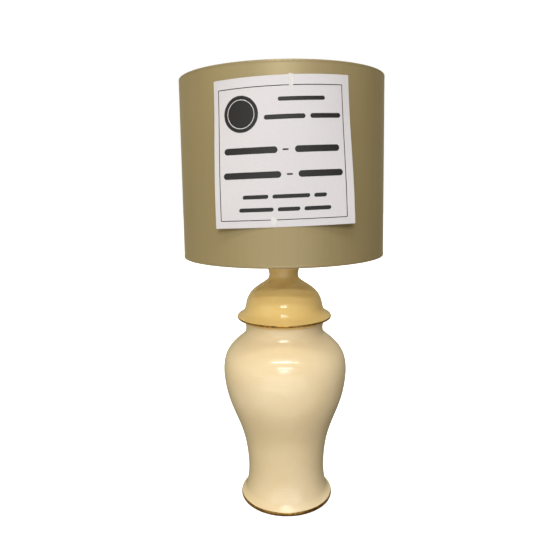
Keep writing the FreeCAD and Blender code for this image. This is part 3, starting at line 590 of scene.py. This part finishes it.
def hem_outline(top):
    """Cloth rolled over the ring wire: soft outer face, tucked edge, inner leg."""
    s = -1.0 if top else 1.0
    edge = HEAD_Z if top else FOOT_Z
    pts = [(174.48, 4.70), (174.62, 4.45), (174.76, 4.0), (174.88, 3.2), (174.97, 2.0), (174.96, 1.15), (174.7, 0.45),
           (174.1, 0.08), (172.9, 0.0), (171.6, 0.02), (170.6, 0.10), (169.95, 0.5), (169.72, 1.3), (169.70, 2.6),
           (169.78, 4.1), (169.92, 4.58), (170.06, 4.35), (170.10, 2.8), (170.16, 1.4), (170.6, 0.58), (171.7, 0.5), (173.3, 0.5),
           (174.05, 0.62), (174.10, 1.4), (174.10, 3.4)]
    if top:
        flat = [(174.46, 4.90), (174.57, 4.50), (174.63, 3.9), (174.68, 3.0), (174.72, 2.0), (174.70, 1.15), (174.50, 0.42)]
        pts = flat + pts[7:]
    return [(r, edge + s * d) for r, d in pts]


def hem_wobble(seed, top):
    rr = random.Random(seed)
    ph = [(k, rr.uniform(0, TAU), rr.uniform(0.03, 0.09)) for k in (3, 7, 12, 19, 31)]

    def f(a, k):
        w = sum(amp * math.sin(q * a + p) for q, p, amp in ph)
        s = -1.0 if top else 1.0
        if k in (0, 1, 2, 14, 15, 16):
            return (0.0, s * w * 1.2)
        return (-abs(w) * 0.25, 0.0)
    return f


for label, node, top in (("hem_bottom", "bottom_edge_roll", False), ("hem_top", "top_edge_roll", True)):
    ob = lathe_closed(label, hem_outline(top), 480, M["hem"], hem_wobble(11 + top, top))
    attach(ob, "shade")
    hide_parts(node)


# back seam: the cloth's free edge, turned under and glued down
def build_seam():
    verts, uvs, faces = [], [], []
    nz = 90
    prof = [(-6.1, 0.02), (-5.9, 0.20), (-5.2, 0.30), (-2.0, 0.30), (2.5, 0.31), (4.6, 0.33), (5.6, 0.28), (6.05, 0.12), (6.1, 0.02),
            (4.0, 0.0), (0.0, 0.0), (-4.0, 0.0)]
    rr = random.Random(5)
    for j in range(nz + 1):
        z = FOOT_Z + 4.7 + (HEAD_Z - FOOT_Z - 9.4) * j / nz
        sway = 0.25 * math.sin(j * 0.21 + 1.0) + rr.uniform(-0.05, 0.05)
        for s, d in prof:
            a = math.pi + (s + sway) / 174.7
            verts.append(cyl(a, R_CLOTH + 0.04 + d, z))
            uvs.append((s * MM, z * MM))
    n = len(prof)
    for j in range(nz):
        for k in range(n):
            l = (k + 1) % n
            faces.append((j * n + k, j * n + l, (j + 1) * n + l, (j + 1) * n + k))
    faces.append(tuple(range(n))[::-1])
    faces.append(tuple(nz * n + k for k in range(n)))
    ob = mesh_object("seam_fold", verts, faces, M["hem"], uvs)
    bm = bmesh.new()
    bm.from_mesh(ob.data)
    bmesh.ops.recalc_face_normals(bm, faces=bm.faces)
    bm.to_mesh(ob.data)
    bm.free()
    return ob


seam = build_seam()
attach(seam, "shade")
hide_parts("shade_seam")

# ------------------------------------------------------------------ the card
# The card is bent round the shade at its top edge and springs flatter towards the bottom,
# so its lower corners stand off the cloth.
CARD_W, CARD_H = 210.0, 216.0
CARD_A, CARD_Z0, CARD_TILT = math.radians(-1.2), 514.2, math.radians(1.37)
R_TOP, R_BOT = 175.2, 350.0


def card_point(s, t, lift=0.0):
    """s across from the card's middle line, t up from its lower edge, in mm; lift outwards."""
    cs, sn = math.cos(CARD_TILT), math.sin(CARD_TILT)
    tc = t - CARD_H / 2
    s, t = s * cs - tc * sn, s * sn + tc * cs + CARD_H / 2
    f = min(max(1.0 - t / CARD_H, 0.0), 1.0)
    f = f * f * (3 - 2 * f)
    curv = (1 - f) / R_TOP + f / R_BOT
    th = s * curv
    x = math.sin(th) / curv
    y = -(175.2 + lift) + (1 - math.cos(th)) / curv
    x += lift * math.sin(th)
    y += lift * (1 - math.cos(th))
    c, q = math.cos(CARD_A), math.sin(CARD_A)
    return ((x * c - y * q) * MM, (x * q + y * c) * MM, (CARD_Z0 + t) * MM)


def grid_sheet(name, s0, s1, t0, t1, mat, lo, hi, ns, nt, shape=None):
    """A thin closed sheet on the card's face between offsets lo and hi (mm)."""
    verts, uvs, faces = [], [], []
    for off in (hi, lo):
        for j in range(nt + 1):
            for i in range(ns + 1):
                s = s0 + (s1 - s0) * i / ns
                t = t0 + (t1 - t0) * j / nt
                if shape:
                    s, t = shape(s, t)
                verts.append(card_point(s, t, off))
                uvs.append((s * MM, t * MM))
    row = ns + 1
    per = row * (nt + 1)
    for j in range(nt):
        for i in range(ns):
            o = j * row + i
            faces.append((o, o + 1, o + row + 1, o + row))
            o += per
            faces.append((o, o + row, o + row + 1, o + 1))
    for i in range(ns):
        faces.append((i, i + per, i + 1 + per, i + 1))
        o = nt * row + i
        faces.append((o, o + 1, o + 1 + per, o + per))
    for j in range(nt):
        o = j * row
        faces.append((o, o + row, o + row + per, o + per))
        o = j * row + ns
        faces.append((o, o + per, o + row + per, o + row))
    return mesh_object(name, verts, faces, mat, uvs)


card = grid_sheet("card_sheet", -CARD_W / 2, CARD_W / 2, 0.0, CARD_H, M["paper"], -0.22, 0.0, 64, 60)
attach(card, "shade")
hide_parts("sample_card")
INK = 0.035


def disc_patch(name, sc, tc, r, mat, lo, hi, n=72, rings=6, squash=1.0):
    verts, uvs, faces = [], [], []
    for off in (hi, lo):
        verts.append(card_point(sc, tc, off))
        uvs.append((sc * MM, tc * MM))
        for k in range(1, rings + 1):
            for i in range(n):
                a = TAU * i / n
                s = sc + r * k / rings * math.cos(a)
                t = tc + r * squash * k / rings * math.sin(a)
                verts.append(card_point(s, t, off))
                uvs.append((s * MM, t * MM))
    per = 1 + rings * n
    for base, flip in ((0, False), (per, True)):
        for i in range(n):
            j = (i + 1) % n
            f = (base, base + 1 + i, base + 1 + j)
            faces.append(f[::-1] if flip else f)
            for k in range(rings - 1):
                a0 = base + 1 + k * n
                b0 = a0 + n
                f = (a0 + i, b0 + i, b0 + j, a0 + j)
                faces.append(f[::-1] if flip else f)
    a0 = 1 + (rings - 1) * n
    for i in range(n):
        j = (i + 1) % n
        faces.append((a0 + i, per + a0 + i, per + a0 + j, a0 + j))
    return mesh_object(name, verts, faces, mat, uvs)


def ring_patch(name, sc, tc, r0, r1, mat, lo, hi, n=96):
    verts, uvs, faces = [], [], []
    for off in (hi, lo):
        for r in (r0, r1):
            for i in range(n):
                a = TAU * i / n
                s, t = sc + r * math.cos(a), tc + r * math.sin(a)
                verts.append(card_point(s, t, off))
                uvs.append((s * MM, t * MM))
    for i in range(n):
        j = (i + 1) % n
        faces.append((i, n + i, n + j, j))
        faces.append((2 * n + i, 2 * n + j, 3 * n + j, 3 * n + i))
        faces.append((n + i, 3 * n + i, 3 * n + j, n + j))
        faces.append((i, j, 2 * n + j, 2 * n + i))
    return mesh_object(name, verts, faces, mat, uvs)


def pill(name, s0, s1, t0, t1, slant=0.0):
    """A bar with round ends, standing for a word of print."""
    h = (t1 - t0) / 2
    tm = (t0 + t1) / 2
    caps = 9
    cols = []
    for k in range(caps + 1):
        a = math.pi / 2 * k / caps
        cols.append((s0 + h * (1 - math.cos(a)), max(h * math.sin(a), 0.04)))
    mid = max(2, int((s1 - s0 - 2 * h) / 4))
    for k in range(1, mid):
        cols.append((s0 + h + (s1 - s0 - 2 * h) * k / mid, h))
    for k in range(caps, -1, -1):
        a = math.pi / 2 * k / caps
        cols.append((s1 - h * (1 - math.cos(a)), max(h * math.sin(a), 0.04)))
    rows = 4
    verts, uvs, faces = [], [], []
    for off in (INK, 0.004):
        for s, half in cols:
            for j in range(rows + 1):
                t = tm + half * (2 * j / rows - 1)
                ss = s + slant * (t - tm)
                verts.append(card_point(ss, t, off))
                uvs.append((ss * MM, t * MM))
    n = len(cols)
    row = rows + 1
    per = n * row
    for i in range(n - 1):
        for j in range(rows):
            o = i * row + j
            faces.append((o, o + row, o + row + 1, o + 1))
            o += per
            faces.append((o, o + 1, o + row + 1, o + row))
    for i in range(n - 1):
        o = i * row
        faces.append((o, o + per, o + per + row, o + row))
        o = i * row + rows
        faces.append((o, o + row, o + row + per, o + per))
    for j in range(rows):
        o = j
        faces.append((o, o + 1, o + 1 + per, o + per))
        o = (n - 1) * row + j
        faces.append((o, o + per, o + 1 + per, o + 1))
    return mesh_object(name, verts, faces, M["ink"], uvs)


marks = []
# thin border, open where the lower tape crosses it
B0, B1, T0, T1 = -96.5, 92.6, 10.8, 201.5
bw = 0.62
marks.append(grid_sheet("border_left", B0 - bw, B0 + bw, T0, T1, M["ink"], 0.004, INK, 1, 48))
marks.append(grid_sheet("border_right", B1 - bw, B1 + bw, T0, T1, M["ink"], 0.004, INK, 1, 48))
marks.append(grid_sheet("border_top", B0, B1, T1 - bw, T1 + bw, M["ink"], 0.004, INK, 56, 1))
marks.append(grid_sheet("border_foot_a", B0, -21.5, T0 - bw, T0 + bw, M["ink"], 0.004, INK, 28, 1))
marks.append(grid_sheet("border_foot_b", -13.0, B1, T0 - bw, T0 + bw, M["ink"], 0.004, INK, 36, 1))
marks.append(disc_patch("emblem_disc", -60.6, 164.6, 26.4, M["ink"], 0.004, INK, n=96))
marks.append(ring_patch("emblem_ring", -60.6, 164.6, 20.0, 21.0, M["paper"], INK - 0.004, INK + 0.012))
ROWS = [  # word spans (s0, s1), t0, t1, slant
    ([(-5, 64)], 178.0, 187.5, 0.0),
    ([(-26, 34), (41, 88)], 152.5, 163.5, 0.0),
    ([(-88, -8), (-1, 8), (17, 84)], 104.0, 119.5, 0.0),
    ([(-90, -4), (4, 13), (21, 88)], 68.5, 84.0, 0.0),
    ([(-62, -24), (-18, 37), (43, 62)], 40.0, 49.5, 0.16),
    ([(-68, -17), (-11, 22), (28, 68)], 21.2, 30.7, 0.16),
]
for i, (spans, t0, t1, slant) in enumerate(ROWS):
    for k, (s0, s1) in enumerate(spans):
        hh = (t1 - t0) * 0.62
        mid = (t0 + t1) / 2
        if s1 - s0 < 12:
            hh *= 0.26
        marks.append(pill("print_bar_%d_%d" % (i, k), s0, s1, mid - hh / 2, mid + hh / 2, slant))
for ob in marks:
    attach(ob, "shade")

# clear tape over the card's upper and lower edges
tape_a = grid_sheet("tape_top", 11.5, 17.5, 199.0, CARD_H + 1.4, M["tape"], 0.06, 0.12, 6, 24)
tape_b = grid_sheet("tape_foot", -21.0, -13.5, 3.0, 15.0, M["tape"], 0.06, 0.12, 6, 16)
for ob in (tape_a, tape_b):
    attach(ob, "shade")
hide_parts("card_tapes")

# ------------------------------------------------------------------ small metal details
def coil_spring(name, x, z0, z1, r, wire, turns, mat):
    """A spring wire swept along its helix, with its end turns closed up."""
    verts, faces = [], []
    n, ring = int(turns * 30), 10
    pts = []
    for i in range(n + 1):
        t = i / n
        a = TAU * turns * t
        zt = t - 0.075 * math.sin(TAU * t)
        pts.append(Vector((x + r * math.cos(a), r * math.sin(a), z0 + (z1 - z0) * zt)))
    for i, p in enumerate(pts):
        d = (pts[min(i + 1, n)] - pts[max(i - 1, 0)]).normalized()
        u = Vector((p.x - x, p.y, 0.0)).normalized()
        v = d.cross(u).normalized()
        for k in range(ring):
            a = TAU * k / ring
            q = p + (u * math.cos(a) + v * math.sin(a)) * wire
            verts.append((q.x * MM, q.y * MM, q.z * MM))
    for i in range(n):
        for k in range(ring):
            j = (k + 1) % ring
            faces.append((i * ring + k, i * ring + j, (i + 1) * ring + j, (i + 1) * ring + k))
    faces.append(tuple(range(ring))[::-1])
    faces.append(tuple(n * ring + k for k in range(ring)))
    ob = mesh_object(name, verts, faces, mat)
    bm = bmesh.new()
    bm.from_mesh(ob.data)
    bmesh.ops.recalc_face_normals(bm, faces=bm.faces)
    bm.to_mesh(ob.data)
    bm.free()
    return ob


for i, x in enumerate((-5.2, 5.2)):
    ob = coil_spring("contact_coil_%d" % i, x, 480.80, 484.84, 1.8, 0.24, 3.6, M["wire"])
    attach(ob, "base")
    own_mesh(ob)
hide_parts("contact_springs")

# ------------------------------------------------------------------ felt under the foot
def build_felt():
    rr = random.Random(23)
    na, rings = 220, 16
    verts, uvs, faces = [], [], []
    edge = [80.15 + 0.22 * math.sin(9 * TAU * i / na + 1.0) * 0.4 + rr.uniform(-0.16, 0.16) for i in range(na)]
    for side, z in ((0, 0.03), (1, 1.42)):
        verts.append((0.0, 0.0, z * MM))
        uvs.append((0.0, 0.0))
        for k in range(1, rings + 1):
            for i in range(na):
                a = TAU * i / na
                f = k / rings
                r = edge[i] * f - (0.35 if k == rings and side == 0 else 0.0)
                nap = rr.uniform(0.0, 0.06)
                zz = z + nap if side == 0 else z - nap
                if k == rings:
                    zz += 0.18 if side == 0 else -0.10
                verts.append((r * math.cos(a) * MM, r * math.sin(a) * MM, zz * MM))
                uvs.append((r * math.cos(a) * MM, r * math.sin(a) * MM))
    per = 1 + rings * na
    for base, up in ((0, False), (per, True)):
        for i in range(na):
            j = (i + 1) % na
            f = (base, base + 1 + i, base + 1 + j)
            faces.append(f if up else f[::-1])
            for k in range(rings - 1):
                p = base + 1 + k * na
                q = p + na
                f = (p + i, q + i, q + j, p + j)
                faces.append(f if up else f[::-1])
    p = 1 + (rings - 1) * na
    for i in range(na):
        j = (i + 1) % na
        faces.append((p + i, p + j, per + p + j, per + p + i))
    return mesh_object("felt_disc", verts, faces, M["felt"], uvs)


felt = build_felt()
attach(felt, "base")
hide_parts("felt_pad")

# ------------------------------------------------------------------ stage, lights, camera
fl = mesh_object("floor", [(-9, -9, 0), (9, -9, 0), (9, 9, 0), (-9, 9, 0)], [(0, 1, 2, 3)], M["paper"], smooth=False)
fm = Mat("studio_floor")
fm.color(fm.ramp(fm.noise(fm.coord(), 2.0, 2.0), [(0.3, (0.90, 0.90, 0.90)), (0.7, (0.93, 0.93, 0.93))]))
fm.set(Roughness=0.85, Specular_IOR_Level=0.1, Emission_Color=(1.0, 1.0, 1.0, 1.0), Emission_Strength=0.84)
assign(fl, fm.m)
fl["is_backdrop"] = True
fl.visible_diffuse = False
fl.visible_glossy = False

WORLD = {  # soft room light from each side, as colour x strength
    "top": (0.42, 0.37, 0.24), "bottom": (0.13, 0.11, 0.07), "left": (0.50, 0.45, 0.30), "right": (0.12, 0.105, 0.065),
    "front": (0.03, 0.027, 0.018), "back": (0.30, 0.27, 0.18)}
world = bpy.data.worlds.new("studio")
scene.world = world
world.use_nodes = True
wt = world.node_tree
bg = wt.nodes["Background"]
w_out = wt.nodes["World Output"]


def w_node(kind, op, *vals):
    nd = wt.nodes.new(kind)
    nd.operation = op
    for sock, v in zip(nd.inputs, vals):
        if isinstance(v, (int, float, tuple)):
            sock.default_value = v
        else:
            wt.links.new(v, sock)
    return nd


w_tc = wt.nodes.new("ShaderNodeTexCoord")
w_sep = wt.nodes.new("ShaderNodeSeparateXYZ")
wt.links.new(w_tc.outputs["Generated"], w_sep.inputs[0])
wx, wy, wz = w_sep.outputs
side = w_node("ShaderNodeMath", "SUBTRACT", 1.0, w_node("ShaderNodeMath", "ABSOLUTE", wz).outputs[0]).outputs[0]
total = None
for key, (src, sign, level) in {"top": (wz, 1, False), "bottom": (wz, -1, False), "left": (wx, -1, True), "right": (wx, 1, True),
                                "front": (wy, -1, True), "back": (wy, 1, True)}.items():
    v = w_node("ShaderNodeMath", "MAXIMUM", w_node("ShaderNodeMath", "MULTIPLY", src, float(sign)).outputs[0], 0.0).outputs[0]
    if level:
        v = w_node("ShaderNodeMath", "MULTIPLY", v, side).outputs[0]
    sc = wt.nodes.new("ShaderNodeVectorMath")
    sc.operation = "SCALE"
    sc.inputs[0].default_value = WORLD[key]
    wt.links.new(v, sc.inputs["Scale"])
    if total is None:
        total = sc.outputs[0]
    else:
        ad = wt.nodes.new("ShaderNodeVectorMath")
        ad.operation = "ADD"
        wt.links.new(total, ad.inputs[0])
        wt.links.new(sc.outputs[0], ad.inputs[1])
        total = ad.outputs[0]
wt.links.new(total, bg.inputs["Color"])
bg.inputs["Strength"].default_value = 1.0
bg_white = wt.nodes.new("ShaderNodeBackground")
bg_white.inputs["Color"].default_value = (1.0, 1.0, 1.0, 1.0)
bg_white.inputs["Strength"].default_value = 1.0
w_mix = wt.nodes.new("ShaderNodeMixShader")
w_lp = wt.nodes.new("ShaderNodeLightPath")
wt.links.new(w_lp.outputs["Is Camera Ray"], w_mix.inputs[0])
wt.links.new(bg.outputs[0], w_mix.inputs[1])
wt.links.new(bg_white.outputs[0], w_mix.inputs[2])
wt.links.new(w_mix.outputs[0], w_out.inputs["Surface"])


def strip(name, loc, aim, w, h, power, color=(1.0, 1.0, 1.0)):
    d = bpy.data.lights.new(name, "AREA")
    d.shape = "RECTANGLE"
    d.size = w
    d.size_y = h
    d.energy = power
    d.color = color
    ob = bpy.data.objects.new(name, d)
    bpy.context.collection.objects.link(ob)
    ob.location = loc
    v = Vector(aim) - Vector(loc)
    ob.rotation_euler = v.to_track_quat("-Z", "Y").to_euler()
    return ob


# three ceiling strips in front of the lamp, each farther away, and a broad soft fill
strip("strip_near", (-0.037, -1.09, 1.90), (0.0, -0.1, 0.35), 1.60, 0.045, 11.0)
strip("strip_mid", (-0.075, -2.14, 1.90), (0.0, -0.1, 0.35), 1.20, 0.045, 9.0)
strip("strip_far", (-0.12, -3.50, 1.90), (0.0, -0.1, 0.35), 1.00, 0.05, 29.0)
strip("bounce_near", (-0.03, -0.44, 0.004), (-0.03, -0.44, 1.0), 0.95, 0.42, 0.5).visible_camera = False
strip("key_soft", (-0.25, -3.0, 2.06), (0.0, -0.1, 0.40), 0.7, 0.12, 21.0).visible_glossy = False
strip("fill_low", (-0.1, -1.75, 0.03), (0.0, -0.1, 0.75), 2.8, 1.3, 9.5).visible_camera = False
strip("fill_left", (-2.4, -1.6, 1.0), (0.0, 0.0, 0.45), 1.4, 1.4, 2.0)
strip("fill_back", (1.1, 2.6, 1.5), (0.0, 0.0, 0.40), 1.6, 1.2, 30.0).visible_glossy = False
strip("fill_back_left", (-1.3, 2.9, 1.3), (0.0, 0.0, 0.40), 1.2, 1.0, 5.0).visible_glossy = False

cam_d = bpy.data.cameras.new("camera")
cam = bpy.data.objects.new("camera", cam_d)
bpy.context.collection.objects.link(cam)
D, H, PITCH, ROLL, F_PX, CX, CY, BX = 0.97388, 0.57895, 0.1204, -0.0170, 548.39, 266.3, 248.92, 0.03034
fwd = Vector((0.0, math.cos(PITCH), -math.sin(PITCH)))
up = Vector((0.0, math.sin(PITCH), math.cos(PITCH)))
rt = Vector((1.0, 0.0, 0.0))
r2 = rt * math.cos(ROLL) + up * math.sin(ROLL)
u2 = -rt * math.sin(ROLL) + up * math.cos(ROLL)
rot = Matrix((r2, u2, -fwd)).transposed()
cam.matrix_world = Matrix.Translation(Vector((-BX, -D, H))) @ rot.to_4x4()
cam_d.sensor_fit = "HORIZONTAL"
cam_d.sensor_width = 36.0
cam_d.lens = F_PX * 36.0 / 533.0
cam_d.shift_x = (266.5 - CX) / 533.0
cam_d.shift_y = (CY - 266.5) / 533.0
cam_d.clip_end = 60.0
cam_d.clip_start = 0.02
scene.camera = cam

VISUAL_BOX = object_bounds()
plain = lambda b: [[float(c) for c in p] for p in b]
{"cad": plain(CAD_BOX), "visual": plain(VISUAL_BOX)}
